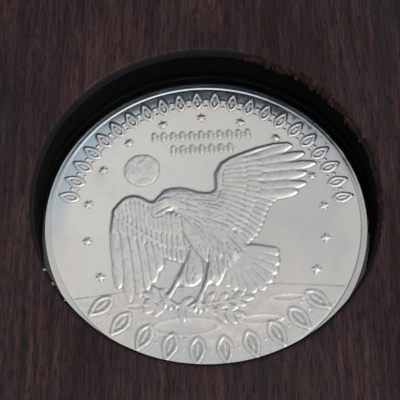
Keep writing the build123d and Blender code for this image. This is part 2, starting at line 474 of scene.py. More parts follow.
def turned(outline, steps, ease, centre=(0, 0)):
    """Spins a closed outline of (radius, height) points about an upright axis."""
    bm = bmesh.new()
    verts = [bm.verts.new((r, 0, z)) for r, z in supported(outline, 0.25)]
    edges = [bm.edges.new((a, b)) for a, b in zip(verts, verts[1:] + verts[:1])]
    bmesh.ops.spin(
        bm, geom=verts + edges, cent=(0, 0, 0), axis=UP, angle=TURN, steps=steps, use_merge=True
    )
    close_up(bm)
    if ease:
        ease_edges(bm, ease)
    bmesh.ops.translate(bm, vec=(*centre, 0), verts=bm.verts)
    return bm


def grow_ring(bm, ring, place):
    """Extrudes a ring of edges, and puts each new vertex where place(angle, old place) says."""
    geom = bmesh.ops.extrude_edge_only(bm, edges=ring)["geom"]
    verts = [g for g in geom if isinstance(g, bmesh.types.BMVert)]
    fresh = set(verts)
    for vert in verts:
        vert.co = place(math.atan2(vert.co.y, vert.co.x), vert.co)
    return [
        g for g in geom
        if isinstance(g, bmesh.types.BMEdge) and g.verts[0] in fresh and g.verts[1] in fresh
    ]


def around(angle, radius, z):
    return Vector((radius * math.cos(angle), radius * math.sin(angle), z))


def smooth(value, low, high):
    """0 at low, 1 at high, with soft ends."""
    t = min(1.0, max(0.0, (value - low) / (high - low)))
    return t * t * (3 - 2 * t)


# ==== facings ======================================================================================
SPLINTER_DRAWS = 512
COLUMN_W = 0.19  # how wide the film splits off along the grain
SPLITS_ROUND = 240  # shorter splits round the whole window
RIPPLES_ROUND = (5, 9, 14, 23, 37, 61)
TEAR_GROWS = 18  # degrees over which the tear starts
TEAR_ENDS = 14
CHIPS = ((212.0, 1.2), (206.5, 0.8), (219.0, 0.6))  # pale chips of the front edge: degrees and half width


class WindowEdge:
    """How the cut edge of a facing runs: rolled over, but torn along the grain on one side."""

    def __init__(self, seed, torn_from, torn_to):
        draw = random.Random(seed)
        self.torn_from = torn_from
        self.torn_to = torn_to
        self.columns = [draw.uniform(-1, 1) for _ in range(SPLINTER_DRAWS)]
        self.waves = [(draw.uniform(0, TURN), draw.choice(RIPPLES_ROUND)) for _ in range(10)]
        self.splits = [draw.uniform(-1, 1) for _ in range(SPLINTER_DRAWS)]

    def tear(self, angle):
        """0 where the edge is whole, 1 where it is torn."""
        degrees = math.degrees(angle)
        start = smooth(degrees, self.torn_from, self.torn_from + TEAR_GROWS)
        end = 1 - smooth(degrees, self.torn_to - TEAR_ENDS, self.torn_to)
        return start * end

    def tear_width(self, angle):
        """How far back from the edge the film is torn off."""
        degrees = math.degrees(angle)
        broad = math.exp(-(((degrees - 50) / 17) ** 2))
        narrow = math.exp(-(((degrees - 2) / 22) ** 2))
        return 0.10 + 0.45 * broad + 0.10 * narrow

    def wander(self, angle):
        """How far the edge lies outside its true circle, in millimetres."""
        ripple = sum(math.sin(angle * n + phase) for phase, n in self.waves) / len(self.waves)
        tear = self.tear(angle)
        x = WINDOW_R * math.cos(angle)
        column = self.columns[int(x / COLUMN_W) % SPLINTER_DRAWS]
        split = self.splits[int(angle / TURN * SPLITS_ROUND) % SPLINTER_DRAWS]
        ragged = column * 0.30 * abs(math.sin(angle)) + split * 0.13 - 0.10
        return 0.03 * ripple + tear * ragged


def plate_outline(angle, inset):
    """Where the ray at that angle meets the facing's rounded rectangle, drawn in by the inset."""
    half_x = FACING_HIGH.x - inset
    half_y = FACING_HIGH.y - inset
    c, s = math.cos(angle), math.sin(angle)
    reach = min(half_x / max(abs(c), 1e-9), half_y / max(abs(s), 1e-9))
    x, y = reach * c, reach * s
    radius = max(CORNER_R - inset, 0.2)
    past = Vector((abs(x) - (half_x - radius), abs(y) - (half_y - radius)))
    if past.x > 0 and past.y > 0 and past.length > radius:
        past *= radius / past.length
        x = math.copysign(half_x - radius + past.x, x)
        y = math.copysign(half_y - radius + past.y, y)
    return x, y


def facing(name, node, body, material, edge, high, low, chips):
    """A facing sheet. high is its outer face and low the face on the board."""
    out = 1 if high > low else -1
    bm = bmesh.new()
    bmesh.ops.create_circle(bm, cap_ends=False, radius=WINDOW_R, segments=EDGE_STEPS)
    for vert in bm.verts:
        vert.co.z = low
    first = list(bm.edges)

    def at_edge(back, z):
        """A place function: so far back from the wandering edge, at height z."""

        def place(angle, _):
            tear = edge.tear(angle)
            slump = tear * 0.30 * max(0.0, 1 - back / edge.tear_width(angle)) * out
            radius = WINDOW_R + edge.wander(angle) * (1 - min(1, back / 2)) + back
            return around(angle, radius, z - slump)

        return place

    ring = grow_ring(bm, first, at_edge(0, low + 0.25 * (high - low)))
    ring = grow_ring(bm, ring, at_edge(0, high - out * WINDOW_ROUND))
    for step in range(1, 7):
        turn = step / 6 * math.pi / 2
        back = WINDOW_ROUND * (1 - math.cos(turn))
        ring = grow_ring(bm, ring, at_edge(back, high - out * WINDOW_ROUND * (1 - math.sin(turn))))
    for back in (0.8, 0.95, 1.2, 1.6, 2.2, 4.0):
        ring = grow_ring(bm, ring, at_edge(back, high))

    def at_outline(inset, z):
        return lambda angle, _: Vector((*plate_outline(angle, inset), z))

    ring = grow_ring(bm, ring, at_outline(FACING_BEVEL + 0.25, high))
    ring = grow_ring(bm, ring, at_outline(FACING_BEVEL, high))
    ring = grow_ring(bm, ring, at_outline(FACING_BEVEL * 0.3, high - out * FACING_BEVEL * 0.3))
    ring = grow_ring(bm, ring, at_outline(0, high - out * FACING_BEVEL))
    ring = grow_ring(bm, ring, at_outline(0, low))
    bmesh.ops.bridge_loops(bm, edges=ring + first)
    bmesh.ops.recalc_face_normals(bm, faces=bm.faces)

    torn, rolled, chipped = [], [], []
    for vert in bm.verts:
        angle = math.atan2(vert.co.y, vert.co.x)
        back = vert.co.xy.length - WINDOW_R - edge.wander(angle)
        depth = (high - vert.co.z) * out
        near = max(0.0, 1 - back / (2 * edge.tear_width(angle))) if back < 4 else 0.0
        torn.append(edge.tear(angle) * near)
        rolled.append(smooth(depth, 0.03, 0.14) if back < 0.8 else 0.0)
        spot = max((1 - abs(math.degrees(angle) % 360 - a) / w for a, w in chips), default=0)
        chipped.append(max(0.0, spot) if back < 0.35 and depth < 0.45 else 0.0)
    attributes = {"torn": torn, "rolled": rolled, "chip": chipped}
    return stand(bm, name, body, node, material, 30, attributes)


def fibres(name, body, material, edge, high, low, count, seed):
    """Loose splinters that stand out of the torn edge, along the grain."""
    draw = random.Random(seed)
    out = 1 if high > low else -1
    bm = bmesh.new()
    placed = 0
    while placed < count:
        angle = math.radians(draw.uniform(edge.torn_from, edge.torn_to))
        keep = edge.tear(angle)
        length = draw.uniform(0.15, 0.5)
        width = draw.uniform(0.02, 0.06)
        lean = draw.uniform(-0.3, 0.3)
        depth = draw.uniform(0.1, 0.8)
        if draw.random() > keep:
            continue
        placed += 1
        root = around(angle, WINDOW_R + edge.wander(angle) + 0.08, high - out * depth)
        direction = -1 if math.sin(angle) > 0.12 else draw.choice((-1, 1))
        way = Vector((lean * 0.7 - 0.25 * math.cos(angle), direction, draw.uniform(-0.25, 0.12) * out))
        made = bmesh.ops.create_cone(
            bm, cap_ends=True, segments=4, radius1=width, radius2=0.006, depth=length
        )
        turn = UP.rotation_difference(way.normalized()).to_matrix().to_4x4()
        shift = Matrix.Translation(root + way.normalized() * length * 0.35)
        bmesh.ops.transform(bm, matrix=shift @ turn, verts=made["verts"])
    return stand(bm, name, body, None, material, 50, {"torn": [1.0] * len(bm.verts)})


# ==== the coin =====================================================================================
def along_line(points, t):
    """The point at share t of the length of a line through points."""
    points = np.asarray(points, float)
    lengths = np.hypot(*np.diff(points, axis=0).T)
    reach = np.concatenate(([0], np.cumsum(lengths)))
    at = t * reach[-1]
    return np.array((np.interp(at, reach, points[:, 0]), np.interp(at, reach, points[:, 1])))


def flowing(outline):
    """A smooth closed line through the points of an outline."""
    points = np.asarray(outline, float)
    padded = np.concatenate((points[-1:], points, points[:2]))
    line = []
    for before, start, end, after in zip(padded, padded[1:], padded[2:], padded[3:]):
        for t in np.arange(FLOW_STEPS) / FLOW_STEPS:
            pull = (end - before) * t + (2 * before - 5 * start + 4 * end - after) * t ** 2
            pull += (3 * start - before - 3 * end + after) * t ** 3
            line.append(start + pull / 2)
    return line


class Relief:
    """Heights struck into one face of the coin, in millimetres over the points x, y."""

    def __init__(self, x, y):
        self.x = x
        self.y = y
        self.z = np.zeros_like(x)

    def lift(self, where, height):
        """Raises the points at those indices to the height, if they are lower."""
        self.z[where] = np.maximum(self.z[where], height)

    def beside(self, root, tip, reach):
        """The points near a straight line: their indices, places along and across it, and its length."""
        root = np.asarray(root, float)
        way = np.asarray(tip, float) - root
        length = math.hypot(*way)
        way = way / length
        dx = self.x - root[0]
        dy = self.y - root[1]
        along = dx * way[0] + dy * way[1]
        across = dy * way[0] - dx * way[1]
        near = (along > -reach) & (along < length + reach) & (np.abs(across) < reach)
        where = np.nonzero(near)[0]
        return where, along[where], across[where], length

    def within(self, outline):
        """The points inside a closed outline: their indices and how far each is from its edge."""
        outline = np.asarray(outline)
        low, high = outline.min(0), outline.max(0)
        box = (self.x > low[0]) & (self.x < high[0]) & (self.y > low[1]) & (self.y < high[1])
        where = np.nonzero(box)[0]
        px, py = self.x[where], self.y[where]
        inside = np.zeros(len(where), bool)
        gap = np.full(len(where), 99.0)
        for (x0, y0), (x1, y1) in zip(outline, np.roll(outline, -1, axis=0)):
            dx, dy = x1 - x0, y1 - y0
            crossing = (y0 > py) != (y1 > py)
            inside ^= crossing & (px < dx * (py - y0) / (dy or 1e-9) + x0)
            t = np.clip(((px - x0) * dx + (py - y0) * dy) / (dx * dx + dy * dy), 0, 1)
            gap = np.minimum(gap, np.hypot(px - x0 - t * dx, py - y0 - t * dy))
        return where[inside], gap[inside]

    def plate(self, outline, height, shoulder, wall):
        """A raised form with a steep wall, a share of its height, and a shoulder that rounds over."""
        where, gap = self.within(flowing(outline))
        rise = 1 - (1 - np.clip(gap / shoulder, 0, 1)) ** 2
        self.lift(where, height * (wall + (1 - wall) * rise))

    def feather(self, root, tip, width, low, high, drop, tilt=0.0, bend=0.0, shaft=0.0, blunt=0.3):
        """A blade from root to tip, low and high at its two ends, that falls by drop at its sides."""
        where, along, across, length = self.beside(root, tip, width + abs(bend))
        u = np.clip(along / length, 0, 1)
        across = across - bend * 4 * u * (1 - u)
        narrow = np.clip((u - (1 - blunt)) / blunt, 0, 1)
        half = width * np.minimum(1, 0.5 + 1.6 * u) * np.sqrt(np.clip(1 - narrow ** 2, 0, 1)) + 1e-6
        s = across / half
        inside = (np.abs(s) < 1) & (along > 0) & (along < length)
        height = low + (high - low) * u + tilt * s - drop * np.abs(s) ** FEATHER_ROOF
        height = height + shaft * np.exp(-((across / 0.08) ** 2)) * (1 - narrow)
        self.lift(where[inside], height[inside])

    def limb(self, *knots):
        """A rounded form through knots of (x, y, radius, height)."""
        for (x0, y0, r0, h0), (x1, y1, r1, h1) in zip(knots, knots[1:]):
            where, along, across, length = self.beside((x0, y0), (x1, y1), max(r0, r1))
            t = np.clip(along / length, 0, 1)
            distance = np.hypot(across, along - t * length)
            share = distance / (r0 + (r1 - r0) * t)
            inside = share < 1
            height = (h0 + (h1 - h0) * t) * np.sqrt(np.clip(1 - share ** 2, 0, 1)) ** 0.8
            self.lift(where[inside], height[inside])

    def groove(self, points, width, depth):
        """A fine cut along straight runs."""
        cut = np.zeros_like(self.z)
        for start, end in zip(points, points[1:]):
            where, along, across, length = self.beside(start, end, 3 * width)
            t = np.clip(along / length, 0, 1)
            distance = np.hypot(across, along - t * length)
            cut[where] = np.maximum(cut[where], np.exp(-((distance / width) ** 2)))
        self.z -= depth * cut

    def star(self, x, y, radius, height, turn=0.0):
        """A raised five-pointed star with a ridge along each point."""
        where = np.nonzero(np.hypot(self.x - x, self.y - y) < radius)[0]
        dx = self.x[where] - x
        dy = self.y[where] - y
        point = TURN / 5
        heading = np.arctan2(dy, dx) - math.pi / 2 - turn
        angle = np.abs(np.mod(heading + point / 2, point) - point / 2)
        inner = 0.40 * radius
        # the side of a point runs from the tip to the notch between two points
        notch = np.array((inner * math.cos(point / 2), inner * math.sin(point / 2)))
        side = notch - (radius, 0)
        normal = np.array((side[1], -side[0])) / math.hypot(*side)
        reach = np.hypot(dx, dy)
        inside_by = (radius - reach * np.cos(angle)) * normal[0] - reach * np.sin(angle) * normal[1]
        inside = inside_by > 0
        full = inner * 0.5
        self.lift(where[inside], height * np.clip(inside_by[inside] / full, 0.25, 1))

    def oval(self, x, y, half_x, half_y, lip, sink):
        """A shallow hollow with a thin raised lip."""
        near = (np.abs(self.x - x) < half_x * 1.4) & (np.abs(self.y - y) < half_y * 1.9)
        where = np.nonzero(near)[0]
        share = np.hypot((self.x[where] - x) / half_x, (self.y[where] - y) / half_y)
        off = (share - 1) * (half_x * half_y) ** 0.5
        self.z[where] += lip * np.exp(-((off / 0.12) ** 2)) - sink * (share < 1) * (1 - share ** 2)

    def bead(self, x, y, radius, height):
        """A small half ball."""
        where = np.nonzero(np.hypot(self.x - x, self.y - y) < radius)[0]
        share = np.hypot(self.x[where] - x, self.y[where] - y) / radius
        self.lift(where, height * np.sqrt(1 - share ** 2))

    def plumage(self, outline, count, size, heading, draw, rise):
        """Small overlapping feathers all over a form, in the direction that heading(point) says."""
        where, gap = self.within(flowing(outline))
        layer = Relief(self.x, self.y)
        for index in draw.sample(list(where), min(count, len(where))):
            root = np.array((self.x[index], self.y[index]))
            angle = math.radians(heading(root) + draw.uniform(-13, 13))
            tip = root + size * draw.uniform(0.75, 1.2) * np.array((math.cos(angle), math.sin(angle)))
            top = rise * draw.uniform(0.8, 1.1)
            layer.feather(root, tip, size * 0.13, 0.15 * rise, top, rise, blunt=0.55)
        self.z[where] += layer.z[where] * np.clip(gap / 0.3, 0, 1)


def feather_row(relief, roots, tips, count, low, high, drop, bend=0.0, tilt=0.0):
    """Feathers side by side from one line towards another."""
    shares = [(i + 0.5) / count for i in range(count)]
    lines = [(along_line(roots, share), along_line(tips, share)) for share in shares]
    for i, (root, tip) in enumerate(lines):
        beside = lines[i + 1] if i + 1 < count else lines[i - 1]
        half = np.hypot(*(tip - beside[1])) * FEATHER_OVERLAP + 0.03
        relief.feather(root, tip, half, low, high, drop, tilt, bend, blunt=0.22)


def leaf_border(relief, start, end, count, inner, outer, height, line_r=0.15):
    """A border of leaves drawn in thin raised lines, upright between small beads."""
    size = outer - inner
    step = (end - start) / (count - 1)
    for i in range(count):
        angle = math.radians(start + step * i)
        out = np.array((math.cos(angle), math.sin(angle)))
        side = np.array((-out[1], out[0]))
        for lean in (-1, 1):
            line = [
                (inner + size * u) * out + lean * side * size * 0.23 * math.sin(math.pi * u ** 0.8)
                for u in np.linspace(0, 1, 7)
            ]
            relief.limb(*[(*point, line_r, height) for point in line])
        vein = [(inner + size * u) * out for u in (0.28, 0.62)]
        relief.limb(*[(*point, 0.13, height * 0.9) for point in vein])
        if i < count - 1:
            between = math.radians(start + step * (i + 0.5))
            for share, radius in ((0.1, 0.13), (0.5, 0.17)):
                reach = inner + size * share
                relief.bead(reach * math.cos(between), reach * math.sin(between), radius, height)


def sprig(relief, x, y, heading, leaves, length, draw):
    """A short twig with pointed leaves to both sides and one at its tip."""
    height = 0.1
    way = np.array((math.cos(math.radians(heading)), math.sin(math.radians(heading))))
    tip = np.array((x, y)) + way * length
    relief.limb((x, y, 0.12, height), (*tip, 0.1, height * 0.8))
    for i in range(leaves):
        root = np.array((x, y)) + way * length * (i + 0.4) / leaves
        for side in (-1, 1):
            angle = math.radians(heading + side * draw.uniform(28, 62))
            reach = draw.uniform(1.2, 1.8)
            end = root + reach * np.array((math.cos(angle), math.sin(angle)))
            relief.feather(root, end, 0.36, height, height, 0.05, bend=0.1 * side, shaft=-0.04, blunt=0.7)
    relief.feather(tip, tip + way * 1.2, 0.34, height, height, 0.05, shaft=-0.04, blunt=0.7)


def strike_ground(relief):
    """The bare ground under a low horizon, with shallow oval hollows."""
    x, y = relief.x, relief.y
    ground = y < -8.05 - x ** 2 / 250
    x, y = x[ground], y[ground]
    relief.z[ground] += 0.03
    relief.z[ground] += 0.006 * np.sin(x * 1.9 + y) * np.sin(y * 2.7 - x * 0.6)
    hollows = (
        (-2.9, -12.8, 3.6, 1.0),
        (5.4, -12.3, 2.3, 0.5),
        (-8.1, -10.2, 1.4, 0.35),
        (8.6, -9.9, 1.9, 0.4),
    )
    for hollow in hollows:
        relief.oval(*hollow, 0.032, 0.024)


DISC_R = 2.02
DISC_AT = (-7.2, 7.0)
STARS_OUT = 13.8  # how far the stars stand from the coin's middle
WREATH_OUT = 11.0
BERRIES_OUT = 12.6


def strike_borders(relief):
    """The disc, the stars and the bands of ornament round the eagle."""
    x, y = relief.x, relief.y
    across = np.hypot(x - DISC_AT[0], y - DISC_AT[1])
    on_disc = across < DISC_R
    dome = 0.025 + 0.04 * np.sqrt(np.clip(1 - (across / DISC_R) ** 2, 0, 1))
    patches = np.sin(x * 2.9 + 1) * np.sin(y * 2.3 - 0.5) + 0.6 * np.sin(x * 5.1 - y * 3.2)
    relief.lift(np.nonzero(on_disc)[0], (dome + 0.02 * np.clip(patches * 2, 0, 1))[on_disc])
    star_angles = [207.5 - 19.7 * i for i in range(9)] + [22.4 - 17.0 * i for i in range(4)]
    for degrees in star_angles:
        angle = math.radians(degrees)
        star_x, star_y = STARS_OUT * math.cos(angle), STARS_OUT * math.sin(angle)
        relief.star(star_x, star_y, 0.76, 0.09, angle - math.pi / 2)
    leaf_border(relief, 166, 8, 22, 15.15, 17.3, 0.065)
    leaf_border(relief, 219, 319, 10, 14.2, 17.3, 0.085, line_r=0.2)
    for row_y, half, count in ((11.35, 5.6, 11), (9.5, 3.4, 7)):
        for i in range(count):
            at = -half + 2 * half * i / (count - 1)
            for way in (-1, 1):
                relief.feather((at, row_y), (at, row_y + 0.6 * way), 0.24, 0.07, 0.06, 0.03, blunt=0.8)
            if i < count - 1:
                relief.bead(at + half / (count - 1), row_y, 0.14, 0.07)


FAR_WING = (
    (-5.89, 2.8), (-6.76, 2.85), (-7.52, 3.41), (-8.29, 3.69), (-9.23, 3.3), (-10.06, 2.37), (-10.63, 1.0),
    (-10.98, -0.58), (-11.03, -2.26), (-10.91, -4.14), (-10.6, -5.5), (-9.9, -5.8), (-9.3, -6.6),
    (-8.6, -6.9),
    (-8.0, -6.3), (-7.4, -6.2), (-6.8, -6.0), (-6.1, -5.7), (-5.5, -4.4), (-5.2, -3.6), (-4.6, -4.2),
    (-3.9, -4.6), (-3.2, -5.0), (-2.5, -4.9), (-2.22, -3.56), (-2.1, -1.04), (-2.94, 1.56),
)
NEAR_WING = (
    (1.61, 3.39), (1.72, 4.59), (1.61, 6.1), (2.23, 7.34), (3.16, 8.03), (4.48, 8.57), (6.51, 9.26),
    (8.54, 9.75), (9.6, 9.75), (9.3, 8.6), (9.9, 7.8), (10.0, 6.6), (10.2, 5.4), (9.9, 4.2), (9.4, 3.2),
    (8.35, 2.6), (7.55, 1.87), (6.95, 1.04), (6.6, -0.02), (6.15, -1.06), (5.5, -2.13), (4.9, -2.85),
    (4.46, -3.1), (3.37, -2.38), (1.96, -0.41), (0.74, 1.8),
)
BODY = (
    (-4.9, 3.85), (-4.19, 4.25), (-3.31, 4.41), (-2.05, 4.21), (-0.71, 3.75), (0.45, 3.56), (1.3, 3.95),
    (1.72, 4.59), (2.14, 2.6), (2.6, 0.85), (3.4, -1.32), (4.36, -3.27), (4.21, -4.1), (3.19, -5.18),
    (1.8, -5.6), (0.2, -5.3), (-0.5, -4.8), (-1.2, -3.9), (-1.81, -3.06), (-2.24, -2.09), (-2.67, -1.01),
    (-3.01, 0.07), (-3.36, 0.9), (-3.72, 1.39), (-4.4, 2.0),
)
LEFT_THIGH = (
    (-1.97, -3.2), (-0.95, -4.6), (-0.74, -6.1), (-0.94, -7.3), (-1.67, -7.95), (-2.66, -8.08), (-3.2, -7.6),
    (-3.6, -7.1), (-3.3, -6.1), (-2.6, -4.6),
)
RIGHT_THIGH = (
    (0.25, -3.0), (1.97, -2.6), (3.5, -3.6), (3.2, -4.9), (2.5, -6.0), (1.76, -6.9), (0.84, -8.1),
    (0.2, -7.7), (-0.4, -7.9), (-0.4, -6.8), (-0.1, -5.2),
)
TAIL = (
    (3.6, -3.9), (5.5, -4.08), (7.4, -4.15), (7.6, -5.2), (7.4, -6.4), (6.8, -7.5), (6.0, -8.5), (4.6, -8.7),
    (3.2, -8.5), (2.0, -8.1), (1.9, -7.6), (2.4, -5.67),
)
TAIL_TIPS = (
    (8.0, -4.55), (7.95, -5.75), (7.6, -6.85), (6.95, -7.95), (6.1, -8.85), (4.9, -9.15), (3.75, -8.95),
    (2.75, -8.75), (1.9, -8.35),
)
HEAD = (
    (-6.0, 2.2), (-5.85, 2.75), (-5.5, 3.26), (-4.99, 3.75), (-4.2, 4.15), (-3.3, 3.6), (-3.0, 2.4),
    (-3.5, 1.75), (-4.1, 1.7), (-4.7, 2.0), (-5.3, 2.1),
)
BEAK = (
    (-5.7, 2.6), (-6.02, 2.1), (-6.22, 1.5), (-6.15, 1.05), (-5.9, 0.86), (-5.6, 0.88), (-5.1, 1.03),
    (-4.65, 1.3), (-4.2, 1.54), (-3.8, 1.7), (-4.0, 2.2), (-4.7, 2.6),
)


def strike_wings(relief):
    """The far wing, which hangs down, and the near wing, which is raised."""
    relief.plate(FAR_WING, 0.04, 0.3, 0.7)
    roots = ((-10.6, 0.2), (-9.7, -0.6), (-8.7, -1.3), (-7.7, -2.0), (-6.8, -2.5), (-6.0, -2.9))
    tips = ((-10.2, -7.9), (-9.0, -9.6), (-7.85, -9.0), (-7.05, -8.25), (-6.3, -7.3), (-5.75, -6.0))
    for root, tip in zip(roots, tips):
        relief.feather(root, tip, 0.66, 0.13, 0.105, 0.07, tilt=0.012, bend=0.16, blunt=0.34)
    roots = ((-5.9, -1.9), (-4.6, -2.2), (-2.6, -2.4))
    tips = ((-5.4, -3.7), (-4.5, -4.6), (-2.5, -5.2))
    feather_row(relief, roots, tips, 6, 0.11, 0.085, 0.06)
    top = ((-10.6, 2.0), (-9.6, 3.0), (-8.3, 3.3), (-7.0, 2.6), (-5.6, 1.9), (-4.5, 1.5), (-3.0, 0.9))
    middle = (
        (-10.6, -0.6), (-9.4, -1.4), (-8.2, -2.0), (-7.0, -2.6), (-5.8, -3.0), (-4.4, -3.3), (-2.8, -3.4),
    )
    upper = ((-10.5, 0.9), (-9.5, 0.5), (-8.3, 0.2), (-7.0, -0.6), (-5.6, -1.2), (-4.4, -1.6), (-2.9, -2.0))
    feather_row(relief, top, middle, 14, 0.15, 0.135, 0.05)
    feather_row(relief, top, upper, 15, 0.185, 0.165, 0.04)
    relief.limb(
        (-9.9, 0.6, 0.22, 0.15), (-8.2, -0.7, 0.26, 0.17), (-6.4, -2.0, 0.26, 0.165), (-4.8, -3.0, 0.2, 0.14)
    )
    relief.limb(
        (-10.8, -0.8, 0.2, 0.12), (-10.5, 1.0, 0.3, 0.15), (-9.95, 2.2, 0.4, 0.17), (-9.1, 3.05, 0.45, 0.18),
        (-8.3, 3.25, 0.45, 0.19), (-7.5, 2.95, 0.45, 0.19), (-6.7, 2.4, 0.45, 0.18), (-5.8, 2.3, 0.4, 0.17),
    )

    relief.plate(NEAR_WING, 0.045, 0.3, 0.7)
    roots = ((2.6, 7.0), (4.6, 6.6), (5.0, 5.0), (4.6, 3.0))
    tips = ((10.75, 9.5), (12.1, 8.35), (13.35, 6.95), (12.2, 5.7), (11.95, 4.3), (10.9, 3.3))
    for i, tip in enumerate(tips):
        root = along_line(roots, i / (len(tips) - 1))
        relief.feather(root, tip, 0.60, 0.13, 0.1, 0.06, tilt=0.015, bend=-0.15, blunt=0.32)
    trail = (
        (10.0, 3.0), (8.35, 2.4), (7.72, 1.8), (7.11, 0.95), (6.76, -0.1), (6.33, -1.1), (5.68, -2.2),
        (4.4, -3.3),
    )
    quills = ((6.2, 4.6), (6.0, 3.6), (5.75, 2.6), (5.2, 1.35), (4.52, -0.11), (3.4, -1.9))
    feather_row(relief, quills, trail, 12, 0.12, 0.065, 0.055, bend=-0.05)
    inner = ((2.6, 7.4), (2.2, 4.6), (1.7, 3.04), (1.1, 1.99), (0.8, 0.6))
    outer = ((6.9, 8.5), (6.9, 6.1), (6.8, 4.35), (6.3, 2.84), (5.6, 1.35), (4.8, -0.3), (3.8, -1.9))
    middle = ((5.3, 8.2), (5.1, 6.41), (5.1, 4.7), (4.6, 2.6), (4.1, 0.35), (3.2, -1.5))
    feather_row(relief, inner, outer, 15, 0.15, 0.145, 0.05, tilt=0.01)
    feather_row(relief, inner, middle, 14, 0.2, 0.19, 0.05, tilt=0.01)
    relief.limb(
        (1.85, 4.2, 0.5, 0.18), (1.9, 6.0, 0.5, 0.19), (2.5, 7.15, 0.45, 0.19), (3.4, 7.8, 0.36, 0.19),
        (4.7, 8.35, 0.32, 0.17), (6.6, 9.05, 0.28, 0.14), (8.6, 9.55, 0.24, 0.12), (10.3, 9.65, 0.2, 0.1),
    )


def strike_legs(relief, draw):
    """Both legs with their feathered thighs, and the feet."""
    left_toes = ((-5.6, -9.95), (-5.1, -10.3), (-4.5, -10.5), (-3.8, -10.35))
    right_toes = ((-2.3, -10.4), (-1.75, -10.85), (-1.2, -11.0), (-0.5, -10.8))
    legs = (
        ((-3.4, -6.9), (-4.15, -8.3), (-4.85, -9.4), left_toes),
        ((-0.15, -7.2), (-0.85, -8.7), (-1.35, -9.9), right_toes),
    )
    for hip, heel, foot, toes in legs:
        relief.limb((*hip, 0.36, 0.1), (*heel, 0.24, 0.1), (*foot, 0.28, 0.12))
        for toe in toes:
            claw = (toe[0] - 0.12, toe[1] - 0.4)
            relief.limb((*foot, 0.17, 0.12), (*toe, 0.17, 0.12), (*claw, 0.06, 0.04))
    relief.plate(LEFT_THIGH, 0.1, 0.5, 0.6)
    relief.plumage(LEFT_THIGH, 30, 1.8, lambda p: -96 - 8 * (p[0] + 2), draw, 0.07)


def bearing(point, centre):
    """The direction of a point as seen from the centre, in degrees."""
    return math.degrees(math.atan2(point[1] - centre[1], point[0] - centre[0]))


def strike_head(relief, draw):
    """Head with a hooked beak, and the fine plumage that runs back from it."""
    relief.plate(BEAK, 0.16, 0.3, 0.75)
    relief.plate(HEAD, 0.2, 0.9, 0.55)
    relief.plumage(HEAD, 60, 0.9, lambda p: bearing(p, (-6.6, 2.2)), draw, 0.02)
    relief.groove(((-5.8, 1.15), (-5.4, 1.46), (-4.87, 1.74), (-4.25, 1.98)), 0.09, 0.07)
    relief.groove(((-6.0, 2.1), (-5.6, 2.2), (-5.2, 2.35), (-4.9, 2.6)), 0.07, 0.03)
    chin = ((-6.35, 1.3), (-6.2, 0.85), (-5.75, 0.68), (-5.1, 0.84), (-4.3, 1.35), (-3.75, 1.5))
    relief.groove(chin, 0.09, 0.05)
    relief.groove(((-5.4, 2.85), (-4.8, 3.28), (-4.1, 3.25)), 0.1, 0.07)
    relief.bead(-4.72, 2.95, 0.18, 0.24)


def strike_bird(relief, draw):
    """Tail, legs, body and head."""
    relief.plate(TAIL, 0.03, 0.3, 0.7)
    root = np.array((2.4, -3.4))
    for tip in TAIL_TIPS:
        relief.feather(root + (tip - root) * 0.2, tip, 0.72, 0.14, 0.1, 0.07, tilt=0.02, blunt=0.13)
    for tip in np.array(TAIL_TIPS[:-1]) * 0.5 + np.array(TAIL_TIPS[1:]) * 0.5:
        relief.feather(root, root + (tip - root) * 0.55, 0.4, 0.14, 0.13, 0.05, blunt=0.4)
    strike_legs(relief, draw)

    def flow(point):
        return bearing(point, (-5.8, 3.7)) - 4 * max(0, -point[1]) - 3 * max(0, point[0] - 1)

    relief.plate(BODY, 0.18, 1.8, 0.5)
    relief.plumage(BODY, 340, 1.7, flow, draw, 0.06)
    relief.plate(RIGHT_THIGH, 0.16, 1.1, 0.5)
    relief.plumage(RIGHT_THIGH, 60, 1.8, lambda p: -104 + 15 * (p[0] - 1), draw, 0.07)
    strike_head(relief, draw)
    breast = ((-3.75, 1.6), (-3.3, 0.95), (-3.2, 0.2), (-3.2, -0.7), (-2.6, -1.75), (-1.7, -3.05))
    relief.groove(breast, 0.09, 0.05)
    relief.groove(((-1.97, -3.4), (-2.75, -5.1), (-3.59, -6.88), (-4.3, -8.1), (-5.1, -8.85)), 0.09, 0.06)
    relief.groove(((0.18, -3.7), (-0.1, -5.6), (-0.45, -7.1), (-1.1, -8.8)), 0.09, 0.06)


def strike_eagle(relief):
    """The eagle face: an eagle that comes down over a bare horizon with a sprig in its claws."""
    draw = random.Random(11)
    strike_ground(relief)
    strike_borders(relief)
    strike_wings(relief)
    sprigs = (  # place, heading, pairs of leaves and length
        (-4.6, -9.7, 160, 2, 1.9),
        (-5.0, -10.0, 200, 2, 1.4),
        (-1.0, -10.3, 6, 3, 4.6),
        (0.2, -10.9, -14, 2, 2.4),
        (-3.6, -10.2, -22, 1, 0.9),
    )
    for shape in sprigs:
        sprig(relief, *shape, draw)
    strike_bird(relief, draw)


